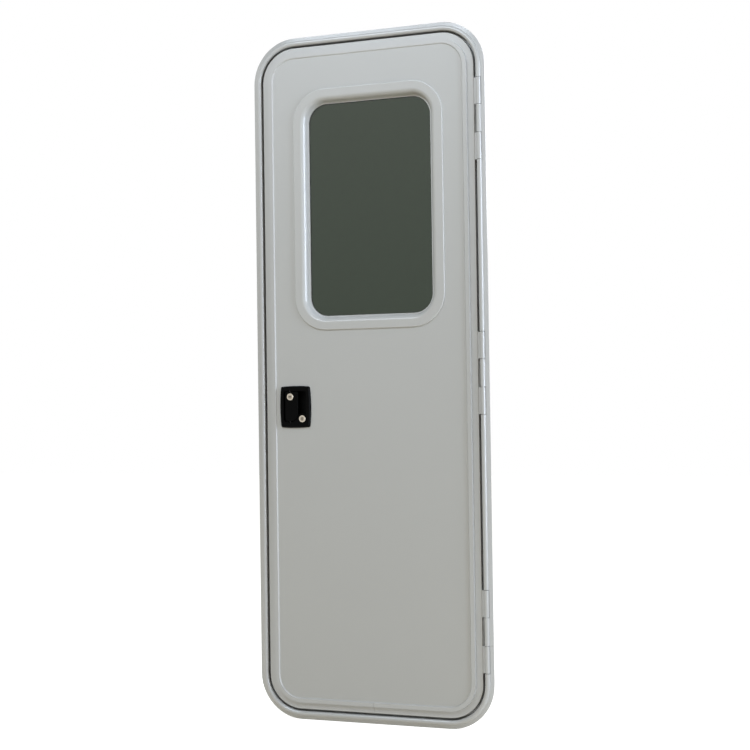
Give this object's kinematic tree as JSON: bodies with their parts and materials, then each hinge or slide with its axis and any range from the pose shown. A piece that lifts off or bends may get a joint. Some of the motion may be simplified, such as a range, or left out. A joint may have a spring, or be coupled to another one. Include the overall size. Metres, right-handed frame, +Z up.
{
  "type": "caravan entry door",
  "caption": "Outward-opening caravan entry door: rounded flanged frame, sandwich-panel leaf on interleaved hinges, raised window surround with tinted pane, recessed paddle lock.",
  "frame": {"origin": "middle of the frame's lower edge, on the flange's back face where it lies on the wall's outer face", "axes": "+X to the right seen from outside (hinge side), +Y into the caravan, +Z up"},
  "size_m": [0.622, 0.0599, 1.751],
  "materials": {
    "frame_powder_coat": "satin powder coat",
    "panel_paint": "smooth coil-coated paint",
    "inner_paint": "smooth coil-coated paint",
    "core_foam": "cut rigid foam",
    "surround_plastic": "glossy moulded",
    "inner_surround_plastic": "satin moulded",
    "tinted_glass": "dark grey-green tint",
    "seal_rubber": "extruded",
    "screen_mesh": "woven glass-fibre yarn",
    "lock_plastic": "moulded, fine sheen",
    "lock_metal": "satin nickel plate",
    "key_plug_metal": "satin nickel plate",
    "pin_steel": "drawn",
    "latch_metal": "zinc plate",
    "inner_handle_plastic": "moulded, fine sheen"
  },
  "bodies": {
    "frame": {"outer_frame": "frame_powder_coat", "frame_seal": "seal_rubber", "strike_plate": "latch_metal", "hinge_pin_top": "pin_steel", "hinge_pin_middle": "pin_steel", "hinge_pin_bottom": "pin_steel"},
    "door_leaf": {"leaf_rim": "frame_powder_coat", "outer_skin": "panel_paint", "door_core": "core_foam", "inner_skin": "inner_paint", "window_surround": "surround_plastic", "window_seal": "seal_rubber", "window_glass": "tinted_glass", "window_inner_surround": "inner_surround_plastic", "fly_screen": "screen_mesh", "hinge_leaf_top": "frame_powder_coat", "hinge_leaf_middle": "frame_powder_coat", "hinge_leaf_bottom": "frame_powder_coat", "lock_escutcheon": "lock_plastic", "lock_pivot_pins": "pin_steel", "lower_lock_barrel": "lock_metal", "latch_bolt": "latch_metal", "inner_handle_plate": "inner_handle_plastic", "inner_lever": "inner_handle_plastic", "inner_snib": "inner_handle_plastic"},
    "paddle": {"paddle_handle": "lock_plastic", "upper_lock_barrel": "lock_metal"},
    "upper_key": {"upper_key_plug": "key_plug_metal"},
    "lower_key": {"lower_key_plug": "key_plug_metal"}
  },
  "joints": [
    {"name": "leaf_swing", "type": "hinge", "parent": "frame", "child": "door_leaf", "pos_m": [0.29525, -0.0055, 0.8755], "axis": [0, 0, 1], "range_deg": [0, 155]},
    {"name": "paddle_pull", "type": "hinge", "parent": "door_leaf", "child": "paddle", "pos_m": [-0.2168, -0.012, 0.7985], "axis": [0, 0, -1], "range_deg": [0, 30], "stiffness_Nm_per_rad": 0.4},
    {"name": "upper_key_turn", "type": "hinge", "parent": "paddle", "child": "upper_key", "pos_m": [-0.2147, -0.0165, 0.8245], "axis": [0, 1, 0], "range_deg": [0, 90]},
    {"name": "lower_key_turn", "type": "hinge", "parent": "door_leaf", "child": "lower_key", "pos_m": [-0.1813, -0.017, 0.768], "axis": [0, 1, 0], "range_deg": [0, 90]}
  ]
}
